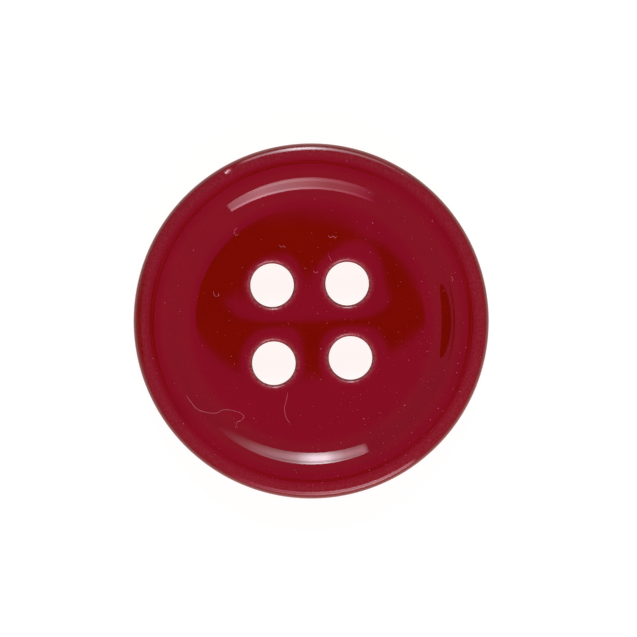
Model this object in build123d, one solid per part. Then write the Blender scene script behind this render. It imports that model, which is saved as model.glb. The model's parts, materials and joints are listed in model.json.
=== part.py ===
# A four-hole sewing button: a cast resin blank turned to a rimmed dish, drilled and tumble polished.
# It lies on its back with its face up. The origin is at the middle of the back, and +Z points out of the
# face. Sizes are in millimetres and angles in degrees.

import os
from math import sqrt

from build123d import *

# Blank
button_diameter = 18.0
button_thickness = 3.0  # from the back up to the crest of the rim

# Face: a hollow floor, a shoulder that climbs to the crest of the rim, and an edge that rolls over from there
rim_width = 3.15  # from the outside in to the edge of the floor
rim_inset = 0.86  # from the outside in to the crest
roll_drop = 0.48  # from the crest down to where the side stands upright
shoulder_height = 0.44  # from the edge of the floor up to the crest
floor_hollow = 0.12  # from the edge of the floor down to its middle

# Back: a flat land, and a curve that lifts from it to the side
back_curve_width = 3.6  # from the outside in to the edge of the land
back_curve_height = 1.7  # where the side becomes upright

# Thread holes: near the corners of a square, each off its corner by as much as the drill wandered
hole_diameter = 2.19
hole_spacing = 3.84
hole_drift = {
    "upper_left": (-0.06, -0.11),
    "upper_right": (-0.10, -0.03),
    "lower_left": (0.03, -0.22),
    "lower_right": (0.07, 0.05),
}

# Hole lips: polishing has rounded the edge on the face, and the back has a small countersink, so that the
# thread bears on no sharp edge
face_lip_radius = 0.19
back_countersink = 0.2

# Places that follow from those sizes: X is a distance from the button's axis, and Y a height
outside = button_diameter / 2
floor_edge = Vector(outside - rim_width, button_thickness - shoulder_height)
floor_middle = Vector(0, floor_edge.Y - floor_hollow)


def two_arcs(start, start_way, end, end_way):
    """Draw two arcs that leave start along start_way, meet on one tangent and reach end along end_way.

    Each arc's two tangents cross at a corner, as far from start as the other corner is from end. The
    corners are twice that distance apart, which gives a quadratic for it.
    """
    across = end - start
    turn = 2 * (1 - start_way.dot(end_way))
    along = 2 * across.dot(start_way + end_way)
    distance = (sqrt(along**2 + 4 * turn * across.dot(across)) - along) / (2 * turn)
    meeting = (start + start_way * distance + end - end_way * distance) / 2
    first = TangentArc(start, meeting, tangent=start_way)
    TangentArc(meeting, end, tangent=first % 1)


def turned_blank():
    """Turn half of the button's section about its axis."""
    crest = Vector(outside - rim_inset, button_thickness)
    side_top = Vector(outside, button_thickness - roll_drop)
    side_foot = Vector(outside, back_curve_height)
    land_edge = Vector(outside - back_curve_width, 0)
    outwards, inwards, down = Vector(1, 0), Vector(-1, 0), Vector(0, -1)

    with BuildPart() as blank:
        with BuildSketch(Plane.XZ):
            with BuildLine():
                floor = TangentArc(floor_middle, floor_edge, tangent=outwards)
                two_arcs(floor_edge, floor % 1, crest, outwards)
                two_arcs(crest, outwards, side_top, down)
                Line(side_top, side_foot)
                two_arcs(side_foot, down, land_edge, inwards)
                Polyline(land_edge, (0, 0), floor_middle)
            make_face()
        revolve(axis=Axis.Z)
    return blank.part


def hole_centres():
    """Each hole's centre is its corner of the square, moved by its drift."""
    half = hole_spacing / 2
    corners = {
        "upper_left": Vector(-half, half),
        "upper_right": Vector(half, half),
        "lower_left": Vector(-half, -half),
        "lower_right": Vector(half, -half),
    }
    return [corner + Vector(hole_drift[name]) for name, corner in corners.items()]


def drilled_button():
    """Drill each hole through the turned blank, then round its lip and countersink its back."""
    middle = button_thickness / 2
    with BuildPart() as button:
        add(turned_blank())
        for centre in hole_centres():
            with Locations(Location((centre.X, centre.Y, middle), (0, 0, 180))):
                Cylinder(hole_diameter / 2, 2 * button_thickness, mode=Mode.SUBTRACT)
            rims = button.edges(Select.LAST).filter_by(GeomType.LINE, reverse=True)
            face_rim = rims.filter_by(lambda edge: edge.center().Z > middle)
            back_rim = rims.filter_by(lambda edge: edge.center().Z < middle)
            chamfer(back_rim, back_countersink)
            fillet(face_rim, face_lip_radius)
    return button.part


button = drilled_button()

os.makedirs("parts", exist_ok=True)
export_step(button, "parts/button.step")
print(f"button: {button.volume:.1f} cubic mm, size {button.bounding_box().size}")
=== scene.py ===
# A four-hole sewing button in polished dark red resin, seen from straight above on white.
# Lengths in the dictionaries are millimetres and angles are degrees, and meshes are in metres. A place
# on the face is a complex number, across + up i, and a point of the turned section is out + height i.
import json
import math

import bmesh
import bpy
import numpy as np
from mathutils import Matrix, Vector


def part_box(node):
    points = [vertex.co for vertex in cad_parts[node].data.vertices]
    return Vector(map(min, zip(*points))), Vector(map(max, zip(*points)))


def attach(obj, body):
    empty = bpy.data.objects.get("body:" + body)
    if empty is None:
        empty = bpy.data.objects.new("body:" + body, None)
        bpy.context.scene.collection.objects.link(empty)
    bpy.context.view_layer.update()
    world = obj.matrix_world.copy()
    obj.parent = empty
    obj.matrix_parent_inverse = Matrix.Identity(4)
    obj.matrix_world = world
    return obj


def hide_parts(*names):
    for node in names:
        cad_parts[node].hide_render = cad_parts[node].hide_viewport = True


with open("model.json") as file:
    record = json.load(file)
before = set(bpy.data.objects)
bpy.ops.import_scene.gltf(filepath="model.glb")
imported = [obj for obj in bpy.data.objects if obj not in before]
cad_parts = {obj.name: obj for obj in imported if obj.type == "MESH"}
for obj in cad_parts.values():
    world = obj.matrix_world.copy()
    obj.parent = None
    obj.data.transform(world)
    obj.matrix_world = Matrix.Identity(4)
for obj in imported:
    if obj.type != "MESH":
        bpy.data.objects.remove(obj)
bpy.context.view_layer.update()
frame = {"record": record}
mm = 0.001
bores = [mount for mount in frame["record"]["mounts"] if mount["kind"] == "bore"]
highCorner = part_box("button")[1]
outside = highCorner.x / mm
thickness = highCorner.z / mm

button = {
    "rimWidth": 3.15,  # outside in to the edge of the floor
    "rimInset": 0.86,  # outside in to the crest
    "rollDrop": 0.48,  # crest down to the upright side
    "shoulderHeight": 0.44,  # edge of the floor up to the crest
    "floorHollow": 0.12,
    # The shoulder steepens out to the break, levels quickly to its end, then slowly to the crest
    "breakOut": 7.19,
    "breakEnd": 7.28,
    "breakSlope": 24.5,
    "endSlope": 13.3,
    # The roll: (distance out, slope down) from the crest, before it turns upright
    "rollStations": [(8.69, 15.0), (8.80, 23.0), (8.86, 40.0)],
    "backCurveWidth": 3.6,
    "backCurveHeight": 1.7,
    "wellRadius": 5.2,  # the holes' grids end here and the turned rings begin
    "faceLip": 0.19,
    "backLip": 0.2,
    "lipWear": 0.17,  # distance from a hole's wall over which its lip is scuffed
    "wearDrop": 0.75,  # nothing further below the crest than this is scuffed
    "swellSlope": 0.6,  # drilling has raised the face by a few thousandths: its slope at a hole's wall
    "swellFade": 0.7,  # and the distance over which that slope falls to a third
    "nickTurn": 119.0,  # where the rim is chipped, counter-clockwise from +X
    "nickOut": 8.68,
    "nickLength": 0.12,
    "nickWidth": 0.06,
    "nickDepth": 0.05,
    "weld": 0.0005,  # points closer than this become one
}

# How finely the button is divided
division = {
    "floor": 6,  # points from the well to the shoulder
    "shoulder": (22, 8, 14),
    "roll": (10, 6, 4),
    "edge": 5,  # steps in each of the edge's two arcs
    "side": 5,
    "back": (10, 6),
    "leg": 56,  # columns along each straight border of a hole's quarter
    "turn": 96,  # columns round each quarter turn
    "nickCrowd": 7.0,  # how many more columns there are at the chip
    "nickSpread": 3.0,
    "lip": 12,
    "nearBand": 0.5,  # rows are even out to this distance from a hole, then widen towards the border
    "near": 8,
    "far": 14,
    "farWidening": 0.65,
    "wall": 8,
    "land": 6,
}

holeCentres = np.array([complex(mount["pos_m"][0], mount["pos_m"][1]) / mm for mount in bores])
holeRadius = bores[0]["dims"]["r_mm"]
floorEdge = complex(outside - button["rimWidth"], thickness - button["shoulderHeight"])
floorMiddle = floorEdge.imag - button["floorHollow"]
floorRadius = (floorEdge.real**2 + button["floorHollow"] ** 2) / (2 * button["floorHollow"])


# Shared shapes


def arcTo(start, way, end, steps):
    # Points of the arc that leaves start along way and ends at end: the chord, shrunk by
    # sin(s h) / sin(h) and turned back by (1 - s) h. h is the angle from way to the chord, and s goes
    # from 0 to 1
    chord = end - start
    half = np.angle(chord / way)
    s = np.linspace(0, 1, steps + 1)[1:]
    points = start + chord * np.sin(s * half) / np.sin(half) * np.exp(1j * (s - 1) * half)
    return points, way * np.exp(2j * half)


def twoArcs(start, startWay, end, endWay, firstSteps, lastSteps):
    # Two arcs on one tangent: their corners lie equally far from the ends, and twice that apart
    across = end - start
    turn = 2 * (1 - (startWay * endWay.conjugate()).real)
    along = 2 * (across * (startWay + endWay).conjugate()).real
    distance = (math.sqrt(along**2 + 4 * turn * abs(across) ** 2) - along) / (2 * turn)
    meeting = (start + startWay * distance + end - endWay * distance) / 2
    first, way = arcTo(start, startWay, meeting, firstSteps)
    last = arcTo(meeting, way, end, lastSteps)[0]
    return np.concatenate([first, last])


def gridFaces(rows, columns, closed):
    # Quads between neighbouring rows of a grid whose points are numbered row by row. In a closed grid
    # the last column joins the first
    lastColumn = columns if closed else columns - 1
    row, column = np.meshgrid(np.arange(rows - 1), np.arange(lastColumn), indexing="ij")
    nextColumn = (column + 1) % columns
    corners = [row * columns + column, row * columns + nextColumn]
    corners += [(row + 1) * columns + nextColumn, (row + 1) * columns + column]
    return np.stack(corners, axis=-1).reshape(-1, 4)


def makeMesh(name, points, faces, material, weld=0.0):
    # A smooth piece from points in millimetres. Points closer than weld become one, and the faces then
    # turn outwards
    mesh = bpy.data.meshes.new(name)
    mesh.from_pydata(points * mm, [], faces)
    if weld:
        work = bmesh.new()
        work.from_mesh(mesh)
        bmesh.ops.remove_doubles(work, verts=work.verts, dist=weld * mm)
        bmesh.ops.recalc_face_normals(work, faces=work.faces)
        work.to_mesh(mesh)
        work.free()
    mesh.polygons.foreach_set("use_smooth", np.ones(len(mesh.polygons), bool))
    mesh.materials.append(material)
    piece = bpy.data.objects.new(name, mesh)
    bpy.context.scene.collection.objects.link(piece)
    return piece


def pointValues(piece, name, values):
    # A number at each point of a piece, for its material to read
    piece.data.attributes.new(name, "FLOAT", "POINT").data.foreach_set("value", values)


# Materials


def newMaterial(name):
    # A material with its nodes, its links and its shader
    material = bpy.data.materials.new(name)
    material.use_nodes = True
    nodes = material.node_tree.nodes
    return material, nodes, material.node_tree.links, nodes["Principled BSDF"]


def noise(nodes, links, place, scale, detail=2, roughness=0.5):
    # Clouds of 0 to 1 over the places, about as many to the metre as the scale says
    node = nodes.new("ShaderNodeTexNoise")
    node.inputs["Scale"].default_value = scale
    node.inputs["Detail"].default_value = detail
    node.inputs["Roughness"].default_value = roughness
    links.new(place, node.inputs["Vector"])
    return node.outputs["Fac"]


def shareBetween(nodes, links, value, low, high, kind="LINEAR"):
    # (value - low) / (high - low), kept between 0 and 1
    node = nodes.new("ShaderNodeMapRange")
    node.interpolation_type = kind
    node.inputs["From Min"].default_value = low
    node.inputs["From Max"].default_value = high
    links.new(value, node.inputs["Value"])
    return node.outputs["Result"]


def multiply(nodes, links, first, second):
    # first x second
    node = nodes.new("ShaderNodeMath")
    node.operation = "MULTIPLY"
    links.new(first, node.inputs[0])
    links.new(second, node.inputs[1])
    return node.outputs["Value"]


def multiplyAdd(nodes, links, value, factor, plus):
    # value x factor + plus, where plus is a number or another node's output
    node = nodes.new("ShaderNodeMath")
    node.operation = "MULTIPLY_ADD"
    links.new(value, node.inputs[0])
    node.inputs[1].default_value = factor
    if isinstance(plus, float):
        node.inputs[2].default_value = plus
    else:
        links.new(plus, node.inputs[2])
    return node.outputs["Value"]


def mixColour(nodes, links, share, under, over):
    # under x (1 - share) + over x share, where under is a colour or another node's output
    node = nodes.new("ShaderNodeMix")
    node.data_type = "RGBA"
    links.new(share, node.inputs["Factor"])
    if isinstance(under, tuple):
        node.inputs["A"].default_value = under
    else:
        links.new(under, node.inputs["A"])
    node.inputs["B"].default_value = over
    return node.outputs["Result"]


resin = {
    "colour": (0.210, 0.0062, 0.0014, 1),
    "deepColour": (0.164, 0.0037, 0.0007, 1),
    "cloudScale": 380,
    "cloudDetail": 6,
    "cloudRoughness": 0.62,
    "roughness": 0.03,
    "ior": 1.5,
    "rimStart": 8.12,  # from here out the polish is scuffed
    "rimEnd": 8.45,
    "rimRoughness": 0.045,
    "rimColour": (0.200, 0.0190, 0.0165, 1),
    "rimSpots": (0.32, 0.68),  # levels of the grain where its pale spots begin and are full
    "paintedEdgeGlowStart": 8.80,  # and from here out the colour is a painted glow of light coming through the edge
    "paintedEdgeGlowEnd": 9.0,
    "paintedEdgeGlowColour": (0.215, 0.009, 0.005, 1),
    "lipColour": (0.42, 0.16, 0.17, 1),
    "lipSpots": (0.3, 0.75),
    "lipRoughness": 0.28,
    # The chip: pale broken resin with a painted glint, as bright as a highlight
    "chipAndGlintColour": (0.85, 0.55, 0.55, 1),
    "chipAndGlintSpots": (0.0, 0.5),
    "grainScale": 9000,
    "grainDetail": 3,
    "scuffDepth": 0.0004,
}


def wornSpots(nodes, links, grain, attribute, levels):
    # The grain's pale spots where a wear attribute is: wear x the grain's share of the way between the
    # levels. At the chip the spots also paint a glint
    wear = nodes.new("ShaderNodeAttribute")
    wear.attribute_name = attribute
    spots = shareBetween(nodes, links, grain, *levels)
    return multiply(nodes, links, wear.outputs["Fac"], spots)


def resinMaterial():
    # Colour: a slow cloud between two reds, and over it the rim's pale spots, a painted glow of light
    # coming through the edge, the holes' scuffed lips, and the chip, pale broken resin with a painted
    # glint. Roughness: the floor's + 2 x the rim's x scuffs + the lips' x their wear, where scuffs are
    # rim x grain and the grain is about a half on average
    material, nodes, links, shader = newMaterial("polishedResin")
    place = nodes.new("ShaderNodeTexCoord").outputs["Object"]
    cloudKind = resin["cloudScale"], resin["cloudDetail"], resin["cloudRoughness"]
    cloud = noise(nodes, links, place, *cloudKind)
    grain = noise(nodes, links, place, resin["grainScale"], resin["grainDetail"])

    # Distance out from the button's axis
    flat = nodes.new("ShaderNodeVectorMath")
    flat.operation = "MULTIPLY"
    flat.inputs[1].default_value = (1, 1, 0)
    links.new(place, flat.inputs[0])
    length = nodes.new("ShaderNodeVectorMath")
    length.operation = "LENGTH"
    links.new(flat.outputs["Vector"], length.inputs[0])
    out = length.outputs["Value"]

    # Where each finish and each painted light is
    rim = shareBetween(nodes, links, out, resin["rimStart"] * mm, resin["rimEnd"] * mm, "SMOOTHSTEP")
    rimSpots = multiply(nodes, links, rim, shareBetween(nodes, links, grain, *resin["rimSpots"]))
    # The edge's share of painted glow: light coming through the resin, painted into its colour
    edge = shareBetween(nodes, links, out, resin["paintedEdgeGlowStart"] * mm, resin["paintedEdgeGlowEnd"] * mm)
    lip = wornSpots(nodes, links, grain, "lipWear", resin["lipSpots"])
    # The chip's pale spots: broken resin and a painted glint
    chipAndGlint = wornSpots(nodes, links, grain, "chipWearAndGlint", resin["chipAndGlintSpots"])
    scuffs = multiply(nodes, links, rim, grain)

    colour = mixColour(nodes, links, cloud, resin["deepColour"], resin["colour"])
    colour = mixColour(nodes, links, rimSpots, colour, resin["rimColour"])
    # Painted glow of light through the edge
    colour = mixColour(nodes, links, edge, colour, resin["paintedEdgeGlowColour"])
    colour = mixColour(nodes, links, lip, colour, resin["lipColour"])
    colour = mixColour(nodes, links, chipAndGlint, colour, resin["chipAndGlintColour"])
    links.new(colour, shader.inputs["Base Color"])

    rough = multiplyAdd(nodes, links, scuffs, 2 * resin["rimRoughness"], resin["roughness"])
    rough = multiplyAdd(nodes, links, lip, resin["lipRoughness"], rough)
    links.new(rough, shader.inputs["Roughness"])

    bump = nodes.new("ShaderNodeBump")
    bump.inputs["Distance"].default_value = resin["scuffDepth"] * mm
    links.new(scuffs, bump.inputs["Height"])
    links.new(bump.outputs["Normal"], shader.inputs["Normal"])
    shader.inputs["IOR"].default_value = resin["ior"]
    return material


# The button


def floorHeight(out):
    # The hollow floor is part of a ball: its middle's height + radius - sqrt(radius^2 - out^2)
    return floorMiddle + floorRadius - np.sqrt(floorRadius**2 - out**2)


def swelling(place):
    # The face rises near each hole by slope x fade x exp(-distance from the wall / fade), summed over
    # the holes
    away = np.abs(place[..., None] - holeCentres) - holeRadius
    slope = math.tan(math.radians(button["swellSlope"]))
    return (slope * button["swellFade"] * np.exp(-away / button["swellFade"])).sum(axis=-1)


def slopedCurve(start, stations, slopes, counts):
    # The sine of the slope runs in straight lines between the stations, and the height is the running
    # sum of the slope's tangent
    spans = zip(stations, stations[1:], counts)
    pieces = [np.linspace(first, last, count, endpoint=False) for first, last, count in spans]
    out = np.append(np.concatenate(pieces), stations[-1])
    sine = np.interp(out, stations, np.sin(np.radians(slopes)))
    tangent = sine / np.sqrt(1 - sine**2)
    rise = np.concatenate([[0], np.cumsum((tangent[1:] + tangent[:-1]) / 2 * np.diff(out))])
    return (out + 1j * (start.imag + rise))[1:]


def shoulderPoints(crest):
    # The slope steepens to the break, then eases to nothing at the crest. The rise is scaled to end
    # there
    floorSlope = math.degrees(math.asin(floorEdge.real / floorRadius))
    stations = [floorEdge.real, button["breakOut"], button["breakEnd"], crest.real]
    slopes = [floorSlope, button["breakSlope"], button["endSlope"], 0]
    curve = slopedCurve(floorEdge, stations, slopes, division["shoulder"])
    rise = curve.imag - floorEdge.imag
    return curve.real + 1j * (floorEdge.imag + rise * (crest.imag - floorEdge.imag) / rise[-1])


def rollPoints(crest, sideTop):
    # From the crest down through the roll's stations, then two arcs to the upright side
    outs, drops = zip(*button["rollStations"])
    slopes = [0.0] + [-drop for drop in drops]
    upper = slopedCurve(crest, [crest.real, *outs], slopes, division["roll"])
    way = np.exp(1j * math.radians(slopes[-1]))
    lower = twoArcs(upper[-1], way, sideTop, -1j, division["edge"], division["edge"])
    return np.concatenate([upper, lower])


def profilePoints():
    # Half of the turned section, from the well out over the rim and round to the back
    crest = complex(outside - button["rimInset"], thickness)
    sideTop = complex(outside, thickness - button["rollDrop"])
    sideFoot = complex(outside, button["backCurveHeight"])
    landEdge = complex(outside - button["backCurveWidth"], 0)
    floorOut = np.linspace(button["wellRadius"], floorEdge.real, division["floor"])
    return np.concatenate([
        floorOut + 1j * floorHeight(floorOut),
        shoulderPoints(crest),
        rollPoints(crest, sideTop),
        np.linspace(sideTop, sideFoot, division["side"] + 1)[1:],
        twoArcs(sideFoot, -1j, landEdge, -1 + 0j, *division["back"]),
        [complex(button["wellRadius"], 0)],
    ])


# Points of the section on the floor, the shoulder and the roll
facePoints = division["floor"] + sum(division["shoulder"] + division["roll"]) + 2 * division["edge"]


def nickTurns():
    # The quarter that holds the chip has its columns drawn together there. They are the inverse of the
    # running sum of 1 + crowd x exp(-((turn - chip's turn) / spread)^2)
    fine = np.linspace(90, 180, 2001)
    away = (fine - button["nickTurn"]) / division["nickSpread"]
    density = 1 + division["nickCrowd"] * np.exp(-(away**2))
    running = np.concatenate([[0], np.cumsum((density[1:] + density[:-1]) / 2)])
    wanted = np.linspace(0, running[-1], division["turn"], endpoint=False)
    return np.interp(wanted, running, fine)


evenTurns = np.linspace(0, 90, division["turn"], endpoint=False)
quarterTurns = [evenTurns, nickTurns(), evenTurns + 180, evenTurns + 270]


def nickDent(turn, out):
    # Depth of the chip in the rim: depth x exp(-(along / length)^2 - (across / width)^2)
    along = np.radians(turn - button["nickTurn"]) * button["nickOut"] / button["nickLength"]
    across = (out - button["nickOut"]) / button["nickWidth"]
    return button["nickDepth"] * np.exp(-(along**2) - across**2)


def rimGrid():
    # The section carried round the axis: out x (cos turn, sin turn). Its face swells at the holes and
    # dips at the chip
    profile = profilePoints()
    out, turn = np.meshgrid(profile.real, np.concatenate(quarterTurns), indexing="ij")
    place = out * np.exp(1j * np.radians(turn))
    height = np.repeat(profile.imag[:, None], turn.shape[1], axis=1)
    height[:facePoints] += swelling(place[:facePoints])
    height[:facePoints] -= nickDent(turn[:facePoints], out[:facePoints])
    points = np.stack([place.real, place.imag, height], axis=-1)
    return points.reshape(-1, 3), gridFaces(*height.shape, True)


def holeGrid(quarter):
    # Around one hole: rays from its wall to the border of its quarter of the well. Each row lies at
    # hole radius + away along the rays, and the rows go in over the face, over the lip, down the wall
    # and out over the back
    axis = 1j**quarter
    leg = np.linspace(0, 1, division["leg"], endpoint=False) * button["wellRadius"]
    arc = button["wellRadius"] * np.exp(1j * np.radians(quarterTurns[quarter]))
    backLeg = (button["wellRadius"] - leg) * axis * 1j
    border = np.concatenate([leg * axis, arc, backLeg])
    middle = button["wellRadius"] * axis * (1 + 1j) / 4
    centre = holeCentres[np.argmin(np.abs(holeCentres - middle))]
    ray = border - centre
    reach = np.abs(ray) - holeRadius
    ray /= np.abs(ray)

    # Face: rows that narrow from the border in, even rows, and a quarter circle for the lip
    lipTurn = np.radians(np.linspace(0, 90, division["lip"] + 1))[:, None]
    lipAway = button["faceLip"] * (1 - np.sin(lipTurn))
    lipDrop = button["faceLip"] * (1 - np.cos(lipTurn))
    spread = np.linspace(1, 0, division["far"] + 1)[:-1, None]
    spread = spread * (1 - division["farWidening"] + division["farWidening"] * spread)
    farAway = division["nearBand"] + (reach - division["nearBand"]) * spread
    nearAway = np.linspace(division["nearBand"], button["faceLip"], division["near"] + 1)[:-1, None]
    faceAway = np.concatenate([farAway, nearAway + 0 * reach, lipAway + 0 * reach])
    faceDrop = np.concatenate([np.zeros((division["far"] + division["near"], 1)), lipDrop])
    place = centre + ray * (holeRadius + faceAway)
    face = floorHeight(np.abs(place)) + swelling(place) - faceDrop

    # Back: a quarter circle for the lip, then the flat land. The wall joins it to the face
    backLipAway = button["backLip"] * (1 - np.sin(lipTurn[::-1]))
    backLipRise = button["backLip"] * (1 - np.cos(lipTurn[::-1]))
    landShare = np.linspace(0, 1, division["land"] + 1)[1:, None]
    landAway = backLipAway[-1] + (reach - backLipAway[-1]) * landShare
    wallShare = np.linspace(0, 1, division["wall"] + 1)[1:-1, None]
    wall = face[-1] * (1 - wallShare) + backLipRise[0] * wallShare

    away = np.concatenate([faceAway, 0 * wall, backLipAway + 0 * reach, landAway])
    height = np.concatenate([face, wall, backLipRise + 0 * reach, 0 * landAway])
    place = centre + ray * (holeRadius + away)
    points = np.stack([place.real, place.imag, height], axis=-1)
    return points.reshape(-1, 3), gridFaces(*height.shape, True)


def wearShare(points):
    # How scuffed each point of the face is, 0 to 1: exp(-(distance from a hole's wall / wear)^2), and
    # the chip's bell, which also carries the chip's painted glint
    place = points[:, 0] + 1j * points[:, 1]
    away = np.abs(np.abs(place[:, None] - holeCentres) - holeRadius).min(axis=1)
    onFace = points[:, 2] > thickness - button["wearDrop"]
    chipAndGlint = nickDent(np.degrees(np.angle(place)), np.abs(place)) / button["nickDepth"]
    return np.exp(-((away / button["lipWear"]) ** 2)) * onFace, chipAndGlint * onFace


def buildButton():
    # The turned rings and the four holes' grids, welded where they meet
    points, faces, first = [], [], 0
    for gridPoints, grid in [rimGrid()] + [holeGrid(quarter) for quarter in range(4)]:
        points.append(gridPoints)
        faces.append(grid + first)
        first += len(gridPoints)
    points, faces = np.concatenate(points), np.concatenate(faces)
    piece = makeMesh("resin_button", points, faces, resinMaterial(), button["weld"])
    places = np.empty(len(piece.data.vertices) * 3)
    piece.data.vertices.foreach_get("co", places)
    lipShare, chipAndGlintShare = wearShare(places.reshape(-1, 3) / mm)
    pointValues(piece, "lipWear", lipShare)
    pointValues(piece, "chipWearAndGlint", chipAndGlintShare)
    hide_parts("button")
    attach(piece, "root")
    return piece


resinButton = buildButton()
print("button:", len(resinButton.data.polygons), "faces")


# Lint and dust


def faceHeight(place):
    # Height of the face at each place: the turned section's at that distance out, and the swelling
    top = profilePoints()[:facePoints]
    out = np.abs(place)
    floor = floorHeight(np.minimum(out, floorEdge.real))
    turned = np.where(out < floorEdge.real, floor, np.interp(out, top.real, top.imag))
    return turned + swelling(place)


fluff = {
    "scale": 6000,
    "shade": 0.7,  # the darkest part of a colour, as a share of it
    "roughness": 0.85,
}


def fluffMaterial(name, colour):
    # A dull colour that a fine noise darkens from place to place
    material, nodes, links, shader = newMaterial(name)
    place = nodes.new("ShaderNodeTexCoord").outputs["Object"]
    darker = (*(fluff["shade"] * level for level in colour[:3]), 1)
    tint = mixColour(nodes, links, noise(nodes, links, place, fluff["scale"]), darker, colour)
    links.new(tint, shader.inputs["Base Color"])
    shader.inputs["Roughness"].default_value = fluff["roughness"]
    return material


lint = {
    "colour": (0.66, 0.22, 0.27, 1),
    "thickness": 0.020,
    "tip": 0.35,  # a fibre's ends are this share as thick
    "lift": 0.8,  # how far a fibre's middle is above the face, as a share of its radius
    "sides": 5,
    "steps": 6,
    # Each fibre is a list of places across and up from the button's middle
    "fibres": [
        [(-6.35, -3.71), (-6.13, -4.05), (-5.77, -4.46), (-5.22, -4.64), (-4.81, -4.66), (-4.45, -4.5),
         (-3.98, -4.53), (-3.59, -4.66), (-3.41, -4.84), (-3.56, -5.04), (-3.75, -5.12), (-3.82, -5.44)],
        [(-1.18, -3.59), (-1.27, -4.05), (-1.35, -4.4), (-1.28, -4.86), (-1.02, -5.26)],
        [(-3.75, 4.72), (-3.86, 4.62), (-3.9, 4.46), (-3.8, 4.34), (-3.66, 4.38)],
        [(-4.95, 1.52), (-4.92, 1.34), (-4.8, 1.24), (-4.68, 1.3), (-4.7, 1.42)],
        [(-1.62, 3.86), (-1.52, 3.74), (-1.4, 3.8), (-1.3, 3.7)],
        [(0.86, 4.34), (0.98, 4.22), (1.12, 4.3), (1.22, 4.2), (1.3, 4.3)],
        [(0.88, 3.3), (0.97, 3.17), (1.03, 3.02)],
        [(0.1, 2.55), (0.22, 2.44), (0.34, 2.5)],
        [(7.08, 2.25), (7.17, 2.13), (7.13, 2.0)],
    ],
}


def smoothPath(points, steps):
    # A curve through the points. Between b and c, whose neighbours are a and d, it is b + t (c - a) / 2
    # + t^2 (a - 2.5 b + 2 c - d / 2) + t^3 (1.5 (b - c) + (d - a) / 2)
    p = np.array([complex(*point) for point in points])
    p = np.concatenate([[2 * p[0] - p[1]], p, [2 * p[-1] - p[-2]]])
    t = np.linspace(0, 1, steps, endpoint=False)[None, :]
    a, b, c, d = p[:-3, None], p[1:-2, None], p[2:-1, None], p[3:, None]
    square = a - 2.5 * b + 2 * c - d / 2
    cube = 1.5 * (b - c) + (d - a) / 2
    path = b + t * (c - a) / 2 + t**2 * square + t**3 * cube
    return np.append(path.ravel(), p[-2])


def fibreTube(points):
    # A tube along the path: each ring is the path's point + radius x (sideways x cos + up x sin). The
    # radius is half the thickness x the lesser of 1 and tip + 2 sin(half a turn along the fibre)
    path = smoothPath(points, lint["steps"])
    way = np.gradient(path)
    sideways = 1j * way / np.abs(way)
    taper = lint["tip"] + 2 * np.sin(np.linspace(0, np.pi, len(path)))
    radius = lint["thickness"] / 2 * np.minimum(1, taper)
    middle = faceHeight(path) + lint["lift"] * radius
    turn = np.linspace(0, 2 * np.pi, lint["sides"], endpoint=False)[None, :]
    place = path[:, None] + radius[:, None] * np.cos(turn) * sideways[:, None]
    height = middle[:, None] + radius[:, None] * np.sin(turn)
    rings = np.stack([place.real, place.imag, height], axis=-1).reshape(-1, 3)
    ends = np.stack([path.real, path.imag, middle], axis=-1)[[0, -1]]

    # The tube's quads, and a fan of triangles at each end
    faces = gridFaces(*height.shape, True).tolist()
    count, last = lint["sides"], (len(path) - 1) * lint["sides"]
    faces += [[len(rings), (i + 1) % count, i] for i in range(count)]
    faces += [[len(rings) + 1, last + i, last + (i + 1) % count] for i in range(count)]
    return np.concatenate([rings, ends]), faces


def buildLint():
    # Every fibre's tube, in one piece
    points, faces, first = [], [], 0
    for fibre in lint["fibres"]:
        tubePoints, tubeFaces = fibreTube(fibre)
        points.append(tubePoints)
        faces += [[first + i for i in face] for face in tubeFaces]
        first += len(tubePoints)
    material = fluffMaterial("pinkLint", lint["colour"])
    piece = makeMesh("lint_fibres", np.concatenate(points), faces, material)
    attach(piece, "root")


dust = {
    "colour": (0.72, 0.28, 0.34, 1),
    "seed": 28,
    "tries": 4000,  # chance places, of which the first strays that suit are kept
    "strays": 380,
    "reach": 8.4,  # strays lie within this distance of the button's middle
    "holeGap": 0.3,  # and this far from the holes
    "share": 0.34,  # how many of the tries in the middle are wanted
    "lean": 0.0357,  # and how many more with each millimetre to the right or down
    "straySize": (0.007, 0.020),  # half a speck's width
    "seenSize": (0.022, 0.037),
    "squash": (0.55, 1),
    "lift": 0.5,  # how far a speck's middle is above the face, as a share of its size
    "height": 0.7,
    # The specks that stand out, listed one by one
    "seen": [
        (-2.43, 5.86), (-5.96, 3.58), (-6.73, 1.79), (-7.41, 0.92), (-3.48, 2.71), (-0.31, 2.66),
        (3.11, 4.96), (2.93, 6.5), (6.13, 5.07), (6.1, 3.63), (3.01, 3.48), (1.8, 8.09), (4.61, 7.42),
        (-4.04, -1.78), (-7.99, -1.9), (-6.47, -5.2), (7.43, -2.15), (7.37, -2.61), (6.73, -2.51),
        (8.57, -1.83), (4.74, -4.28), (6.43, -4.42), (6.04, -5.0), (2.66, -4.95), (5.09, -5.66),
        (5.98, -6.03), (1.5, -6.17), (3.64, -6.17), (2.96, -7.55), (0.56, -8.19), (2.9, -8.24),
        (4.42, -0.56), (5.64, -0.54), (5.86, -1.54), (4.94, -1.98), (0.49, -1.41), (0.49, -2.97),
    ],
}


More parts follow.
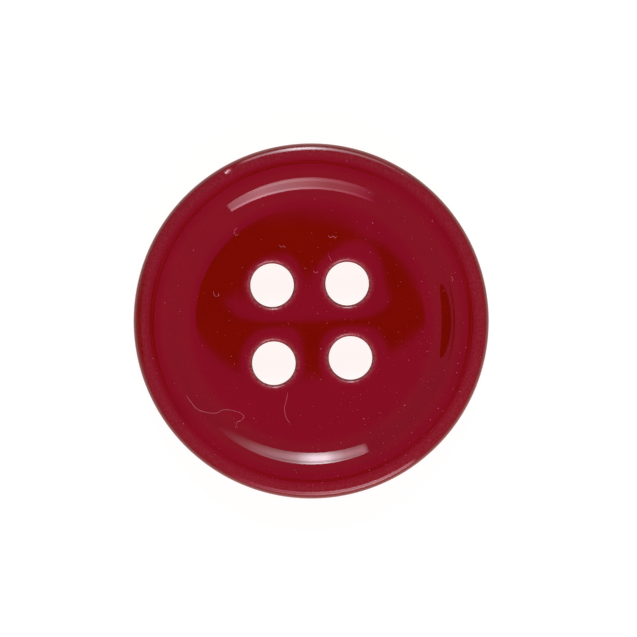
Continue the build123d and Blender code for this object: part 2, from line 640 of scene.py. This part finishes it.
def scatterStrays(chance):
    # Chance places on the face, clear of the holes. A try is kept if a draw is below share + lean x
    # (across - up)
    reach = dust["reach"]
    across = chance.uniform(-reach, reach, dust["tries"])
    tries = across + 1j * chance.uniform(-reach, reach, dust["tries"])
    fromHoles = np.abs(tries[:, None] - holeCentres).min(axis=1) - holeRadius
    clear = (np.abs(tries) < reach) & (fromHoles > dust["holeGap"])
    level = dust["share"] + dust["lean"] * (tries.real - tries.imag)
    wanted = chance.uniform(0, 1, dust["tries"]) < level
    return tries[clear & wanted][: dust["strays"]]


def buildDust():
    # Each speck is an eight-sided grain, squashed and turned by chance: at each quarter turn its corner
    # is place + size x turn x (cos + i x squash x sin), and it has a tip above and one below
    chance = np.random.default_rng(dust["seed"])
    strays = scatterStrays(chance)
    seen = np.array([complex(*place) for place in dust["seen"]])
    place = np.concatenate([seen, strays])
    seenSizes = chance.uniform(*dust["seenSize"], len(seen))
    size = np.concatenate([seenSizes, chance.uniform(*dust["straySize"], len(strays))])
    squash = chance.uniform(*dust["squash"], len(place))[:, None]
    turn = np.exp(1j * chance.uniform(0, np.pi, len(place)))[:, None]
    grain = np.array([1, 1j, -1, -1j, 0, 0])
    tips = np.array([0, 0, 0, 0, dust["height"], -dust["height"]])
    corner = place[:, None] + size[:, None] * turn * (grain.real + 1j * grain.imag * squash)
    height = (faceHeight(place) + dust["lift"] * size)[:, None] + size[:, None] * tips * squash
    points = np.stack([corner.real, corner.imag, height], axis=-1).reshape(-1, 3)
    upper = [[0, 1, 4], [1, 2, 4], [2, 3, 4], [3, 0, 4]]
    lower = [[1, 0, 5], [2, 1, 5], [3, 2, 5], [0, 3, 5]]
    sides = np.array(upper + lower)
    faces = (sides[None] + len(grain) * np.arange(len(place))[:, None, None]).reshape(-1, 3)
    piece = makeMesh("dust_specks", points, faces, fluffMaterial("paleDust", dust["colour"]))
    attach(piece, "root")


buildLint()
buildDust()
print("lint and dust: laid on the face")


# Studio


camera = {
    "distance": 1000.0,
    "frameWidth": 32.24,
    "aim": (0.37, 0.125),
    "sensor": 36,
    "near": 10,
    "far": 10000,
}


def glow(name, colour, strength):
    # A material that only gives off light: colour x strength
    material = bpy.data.materials.new(name)
    material.use_nodes = True
    nodes, links = material.node_tree.nodes, material.node_tree.links
    nodes.clear()
    emission = nodes.new("ShaderNodeEmission")
    emission.inputs["Color"].default_value = (*colour, 1)
    emission.inputs["Strength"].default_value = strength
    output = nodes.new("ShaderNodeOutputMaterial")
    links.new(emission.outputs[0], output.inputs["Surface"])
    return material, nodes, links, emission


def onlyReflected(piece):
    # The polish sees the piece, but the camera doesn't, and it neither lights nor shades anything
    piece.visible_camera = False
    piece.visible_diffuse = False
    piece.visible_shadow = False
    piece.visible_transmission = False


def levelRamp(nodes, links, along, stops, peak):
    # A colour ramp through (place, red, green, blue) stops. It gives shares of the peak, and along runs
    # from 0 at the first stop's place to 1 at the last's
    first, last = stops[0][0], stops[-1][0]
    node = nodes.new("ShaderNodeValToRGB")
    for stop in stops[1:-1]:
        node.color_ramp.elements.new((stop[0] - first) / (last - first))
    for element, stop in zip(node.color_ramp.elements, stops):
        element.position = (stop[0] - first) / (last - first)
        element.color = (*(level / peak for level in stop[1:]), 1)
    links.new(along, node.inputs["Fac"])
    return node.outputs["Color"]


# The lamps' turns are (degrees towards +X from the lamp's own side, red, green, blue radiance), and
# each panel's brightness then changes from its top edge to its foot by (degrees from straight up, red,
# green, blue share)
farLamp = {
    "side": 1,
    "top": 30,
    "foot": 60,
    "distance": 620,
    "rows": 17,
    "columns": 49,
    "peak": 20.0,
    "turns": [
        (-24, 2.6, 0.9, 1.3), (-22.3, 6.6, 3.4, 4.3), (-18, 6.0, 4.0, 4.7), (-14, 7.6, 5.2, 6.0),
        (-10, 10.7, 9.7, 10.7), (-6, 19.6, 17.8, 19.6), (-1, 19.0, 17.8, 19.6), (2, 15.0, 13.7, 15.0),
        (6, 8.1, 6.8, 7.6), (10, 6.2, 4.4, 5.2), (14, 4.8, 3.6, 4.2), (22, 4.0, 2.3, 2.8),
        (28, 2.7, 1.3, 1.7), (34, 1.9, 0.6, 1.0), (42, 1.3, 0.04, 0.4),
    ],
    "zeniths": [
        (30, 0.45, 0.45, 0.45), (34, 0.75, 0.75, 0.75), (37, 1, 1, 1), (42, 1, 1, 1),
        (46, 0.4, 0.4, 0.4), (60, 0.22, 0.22, 0.22),
    ],
}
nearLamp = {
    "side": -1,
    "top": 30,
    "foot": 60,
    "distance": 620,
    "rows": 17,
    "columns": 49,
    "peak": 12.0,
    "turns": [
        (-28, 2.364, 0.091, 0.727), (-22, 4.0, 0.727, 1.636), (-14, 5.091, 1.636, 2.545),
        (-6, 5.636, 2.364, 3.091), (2, 7.818, 4.0, 4.727), (14, 8.727, 5.636, 6.545),
        (22, 10.909, 6.182, 7.455), (34, 8.0, 4.0, 5.091), (36, 7.273, 3.636, 4.545),
    ],
    "zeniths": [
        (30, 1, 1, 1), (32.5, 1, 1, 1), (34, 0.55, 0.55, 0.55), (42, 0.55, 0.55, 0.55), (46, 1, 1, 1),
        (60, 1, 1, 1),
    ],
}


def softbox(name, lamp):
    # A flat panel that faces the button. Its row at an angle from straight up is at distance /
    # cos(angle - middle angle) from the button, and on that row across = out x tan(turn)
    zenith = np.radians(np.linspace(lamp["top"], lamp["foot"], lamp["rows"]))[:, None]
    turn = np.radians(np.linspace(lamp["turns"][0][0], lamp["turns"][-1][0], lamp["columns"]))[None, :]
    reach = lamp["distance"] / np.cos(zenith - zenith.mean())
    out = reach * np.sin(zenith) + 0 * turn
    height = reach * np.cos(zenith) + 0 * turn
    points = np.stack([out * np.tan(turn), lamp["side"] * out, height], axis=-1).reshape(-1, 3)
    material, nodes, links, emission = glow(name + "Glow", (1, 1, 1), lamp["peak"])
    panel = makeMesh(name, points, gridFaces(lamp["rows"], lamp["columns"], False), material)

    # The panel's map: turn across it and angle from straight up down it, both from 0 to 1
    across = (turn - turn[0, 0]) / (turn[0, -1] - turn[0, 0]) + 0 * zenith
    down = (zenith - zenith[0, 0]) / (zenith[-1, 0] - zenith[0, 0]) + 0 * turn
    panelMap = panel.data.uv_layers.new(name="panel")
    corners = np.empty(len(panel.data.loops), int)
    panel.data.loops.foreach_get("vertex_index", corners)
    panelMap.data.foreach_set("uv", np.stack([across.ravel(), down.ravel()], axis=-1)[corners].ravel())

    # Light: the turn's radiance x the height's share
    place = nodes.new("ShaderNodeUVMap")
    place.uv_map = "panel"
    split = nodes.new("ShaderNodeSeparateXYZ")
    links.new(place.outputs["UV"], split.inputs[0])
    light = nodes.new("ShaderNodeMix")
    light.data_type = "RGBA"
    light.blend_type = "MULTIPLY"
    light.inputs["Factor"].default_value = 1
    sideways = levelRamp(nodes, links, split.outputs["X"], lamp["turns"], lamp["peak"])
    downwards = levelRamp(nodes, links, split.outputs["Y"], lamp["zeniths"], 1)
    links.new(sideways, light.inputs["A"])
    links.new(downwards, light.inputs["B"])
    links.new(light.outputs["Result"], emission.inputs["Color"])
    panel.visible_camera = False


softbox("farSoftbox", farLamp)
softbox("nearSoftbox", nearLamp)


overhead = {
    "height": 450.0,
    "across": (-7.2, 7.0, 180),  # from, to, and how many places
    "up": (-3.6, 7.0, 140),
    "softness": 0.07,
    "farSoftness": 0.20,  # added to it from farStart up, over farWidth
    "farStart": 4.2,
    "farWidth": 0.8,
    # Places on the button's floor at which the card's edges are mirrored
    "outline": [
        (-7.1, 0.5), (-6.1, -0.4), (-5.5, -0.9), (-4.95, -1.5), (-4.1, -2.15), (-3.3, -2.4),
        (-2.75, -2.3), (-2.7, -1.65), (-2.35, -1.0), (-1.95, -0.52), (-1.12, -0.54), (-0.72, -1.28),
        (-1.0, -1.95), (-1.0, -2.4), (1.05, -2.4), (1.08, -1.95), (1.05, -1.43), (1.5, -0.85),
        (2.15, -0.72), (2.72, -0.65), (3.16, -1.2), (3.38, -1.7), (4.5, -1.26), (5.6, -0.38),
        (6.1, 0.1), (5.55, 1.34), (4.98, 2.34), (4.31, 3.15), (3.5, 3.75), (2.6, 4.0), (2.05, 4.52),
        (1.46, 5.02), (0.7, 5.22), (-0.07, 5.42), (-0.9, 5.5), (-1.8, 5.46), (-2.7, 5.3), (-3.64, 4.91),
        (-4.63, 4.39), (-5.67, 3.55), (-7.1, 2.4),
    ],
    "opening": [
        (-4.13, 1.06), (-3.3, 0.34), (-2.1, 0.2), (-0.75, 0.06), (0.3, 0.08), (1.43, 0.2), (2.6, 0.37),
        (3.38, 0.74), (3.7, 1.17), (3.1, 1.93), (3.15, 2.73), (3.01, 3.38), (2.52, 3.8), (1.79, 3.55),
        (1.38, 2.86), (0.89, 2.31), (0.37, 2.01), (-0.83, 1.83), (-1.05, 2.11), (-1.25, 2.6),
        (-1.5, 2.75), (-1.8, 2.35), (-2.0, 1.98), (-2.2, 1.68), (-2.55, 1.5), (-3.21, 1.4),
    ],
}


def seenFrom(places, height):
    # Where a ray from the camera to each place on the hollow floor lands on a card at that height after
    # it is reflected: place - (2 x place / floor's radius - place / camera's distance) x height
    slope = places / floorRadius
    lens = places / camera["distance"]
    return places - (2 * slope - lens) * height


def insideDistance(x, y, outline):
    # How far inside a closed outline each place is: the least distance to its edges, below zero outside
    start = np.array([complex(*point) for point in outline])
    edge = np.roll(start, -1) - start
    place = (x + 1j * y)[..., None]
    along = np.clip(((place - start) * edge.conj()).real / np.abs(edge) ** 2, 0, 1)
    distance = np.abs(place - start - along * edge).min(axis=-1)
    turned = np.angle((place - np.roll(start, -1)) / (place - start)).sum(axis=-1)
    return np.where(np.abs(turned) > 3, distance, -distance)


def softStep(distance, softness):
    # From 0 to 1 across an edge: 1 / (1 + exp(-distance / softness))
    return 1 / (1 + np.exp(-np.clip(distance / softness, -30, 30)))


def overheadOpacity(x, y):
    # Opaque inside the outline and clear in the opening: inside x (1 - opening). The edges are crisp
    # but for the far one, which fades
    fade = overhead["farSoftness"] * np.clip((y - overhead["farStart"]) / overhead["farWidth"], 0, 1)
    inside = softStep(insideDistance(x, y, overhead["outline"]), overhead["softness"] + fade)
    return inside * (1 - softStep(insideDistance(x, y, overhead["opening"]), overhead["softness"]))


def makeOverheadCard():
    # A black card, on a grid of places on the button's floor: each is carried to where its reflection
    # meets the card, with the card's opacity there
    x, y = np.meshgrid(np.linspace(*overhead["across"]), np.linspace(*overhead["up"]), indexing="ij")
    places = seenFrom(np.stack([x, y], axis=-1), overhead["height"])
    height = np.full((*x.shape, 1), overhead["height"])
    points = np.concatenate([places, height], axis=-1).reshape(-1, 3)
    material, nodes, links, emission = glow("overheadCardBlack", (0, 0, 0), 0)
    clear = nodes.new("ShaderNodeBsdfTransparent")
    cover = nodes.new("ShaderNodeAttribute")
    cover.attribute_name = "cover"
    mix = nodes.new("ShaderNodeMixShader")
    links.new(cover.outputs["Fac"], mix.inputs[0])
    links.new(clear.outputs[0], mix.inputs[1])
    links.new(emission.outputs[0], mix.inputs[2])
    links.new(mix.outputs[0], nodes["Material Output"].inputs["Surface"])
    card = makeMesh("overheadCard", points, gridFaces(*x.shape, False), material)
    pointValues(card, "cover", overheadOpacity(x, y).ravel())
    onlyReflected(card)


makeOverheadCard()


leftCard = {"height": 400, "middle": (-0.73, 0.0), "reach": (0.22, 0.20), "corners": 40}


def makeLeftCard():
    # A black oval to one side: height x (middle + reach x (cos, sin), 1), so that the middle and the
    # reach are tangents of the angle from straight up
    turn = np.linspace(0, 2 * np.pi, leftCard["corners"], endpoint=False)
    x = leftCard["middle"][0] + leftCard["reach"][0] * np.cos(turn)
    y = leftCard["middle"][1] + leftCard["reach"][1] * np.sin(turn)
    points = np.stack([x, y, np.ones(len(turn))], axis=-1) * leftCard["height"]
    material = glow("leftCardBlack", (0, 0, 0), 0)[0]
    card = makeMesh("leftCard", points, [list(range(len(turn)))], material)
    onlyReflected(card)


makeLeftCard()


paper = {
    "halfWidth": 3000.0,
    "drop": 0.01,  # how far it lies below the button's back
    "colour": (0.8, 0.8, 0.8, 1),
    "roughness": 0.9,
    "glow": (0.97, 0.90, 0.88, 1),
    "lightLost": 0.70,  # share of the lamps' light on it that the camera and the polish don't see
}


def makeFloor():
    # A square of paper. The camera and the polish see its glow + (1 - light lost) x the light on it,
    # which add up to more than white except in shade. Everything else sees plain pale paper
    square = np.array([[-1, -1, 0], [1, -1, 0], [1, 1, 0], [-1, 1, 0]]) * paper["halfWidth"]
    square[:, 2] = -paper["drop"]
    material, nodes, links, shader = newMaterial("paleFloor")
    shader.inputs["Base Color"].default_value = paper["colour"]
    shader.inputs["Roughness"].default_value = paper["roughness"]
    shader.inputs["Specular IOR Level"].default_value = 0
    page = nodes.new("ShaderNodeEmission")
    page.inputs["Color"].default_value = paper["glow"]
    path = nodes.new("ShaderNodeLightPath")
    shown = nodes.new("ShaderNodeMath")
    shown.operation = "MAXIMUM"
    links.new(path.outputs["Is Camera Ray"], shown.inputs[0])
    links.new(path.outputs["Is Glossy Ray"], shown.inputs[1])
    lost = nodes.new("ShaderNodeMath")
    lost.operation = "MULTIPLY"
    lost.inputs[1].default_value = paper["lightLost"]
    links.new(shown.outputs[0], lost.inputs[0])
    lit = nodes.new("ShaderNodeMixShader")
    links.new(lost.outputs[0], lit.inputs[0])
    links.new(shader.outputs[0], lit.inputs[1])
    glowing = nodes.new("ShaderNodeMixShader")
    links.new(shown.outputs[0], glowing.inputs[0])
    links.new(page.outputs[0], glowing.inputs[2])
    both = nodes.new("ShaderNodeAddShader")
    links.new(lit.outputs[0], both.inputs[0])
    links.new(glowing.outputs[0], both.inputs[1])
    links.new(both.outputs[0], nodes["Material Output"].inputs["Surface"])
    floor = makeMesh("paleFloor", square, [[0, 1, 2, 3]], material)


makeFloor()


tentShape = {
    "radius": 1600,
    "foot": -4,
    "rows": 48,
    "columns": 96,
    "peak": 1.22,
    # Colours by (sine of the elevation, red, green, blue): white at the foot, then dim, then rose
    # overhead
    "levels": [
        (0.0, 0.9, 0.9, 0.9), (0.12, 0.9, 0.9, 0.9), (0.24, 0.5, 0.2, 0.26), (0.50, 0.5, 0.2, 0.26),
        (0.64, 1.22, 0.11, 0.42), (0.95, 1.22, 0.11, 0.42), (0.99, 1.22, 0.03, 0.40),
        (1.0, 1.22, 0.03, 0.40),
    ],
}


def makeTent():
    # A dome that only the polish sees: radius x (cos(up) cos(turn), cos(up) sin(turn), sin(up))
    up = np.radians(np.linspace(tentShape["foot"], 90, tentShape["rows"]))[:, None]
    turn = np.radians(np.linspace(0, 360, tentShape["columns"], endpoint=False))[None, :]
    x, y, z = np.cos(up) * np.cos(turn), np.cos(up) * np.sin(turn), np.sin(up) + 0 * turn
    points = np.stack([x, y, z], axis=-1).reshape(-1, 3) * tentShape["radius"]
    material, nodes, links, emission = glow("tentGlow", (1, 1, 1), tentShape["peak"])
    place = nodes.new("ShaderNodeTexCoord")
    split = nodes.new("ShaderNodeSeparateXYZ")
    links.new(place.outputs["Object"], split.inputs[0])
    rise = shareBetween(nodes, links, split.outputs["Z"], 0, tentShape["radius"] * mm)
    levels = levelRamp(nodes, links, rise, tentShape["levels"], tentShape["peak"])
    links.new(levels, emission.inputs["Color"])
    tent = makeMesh("tent", points, gridFaces(tentShape["rows"], tentShape["columns"], True), material)
    onlyReflected(tent)


makeTent()


ambient = (0.15, 0.15, 0.15, 1)


def makeWorld():
    # Plain white where the camera looks, and an even grey for everything that it lights
    world = bpy.data.worlds.new("studio")
    bpy.context.scene.world = world
    world.use_nodes = True
    nodes, links = world.node_tree.nodes, world.node_tree.links
    nodes.clear()
    path = nodes.new("ShaderNodeLightPath")
    seen = mixColour(nodes, links, path.outputs["Is Camera Ray"], ambient, (1, 1, 1, 1))
    background = nodes.new("ShaderNodeBackground")
    links.new(seen, background.inputs["Color"])
    output = nodes.new("ShaderNodeOutputWorld")
    links.new(background.outputs[0], output.inputs["Surface"])


makeWorld()
print("studio: lamps, cards, floor, tent and world")


def makeCamera():
    # Straight above its aim and looking down. Its lens is sensor x distance / frame width
    lens = bpy.data.cameras.new("camera")
    lens.sensor_width = camera["sensor"]
    lens.lens = camera["sensor"] * camera["distance"] / camera["frameWidth"]
    lens.clip_start = camera["near"] * mm
    lens.clip_end = camera["far"] * mm
    shown = bpy.data.objects.new("camera", lens)
    x, y = camera["aim"]
    shown.location = (x * mm, y * mm, (camera["distance"] + thickness) * mm)
    bpy.context.scene.collection.objects.link(shown)
    bpy.context.scene.camera = shown


makeCamera()
bpy.context.scene.view_settings.view_transform = "Standard"
print("camera: straight above")
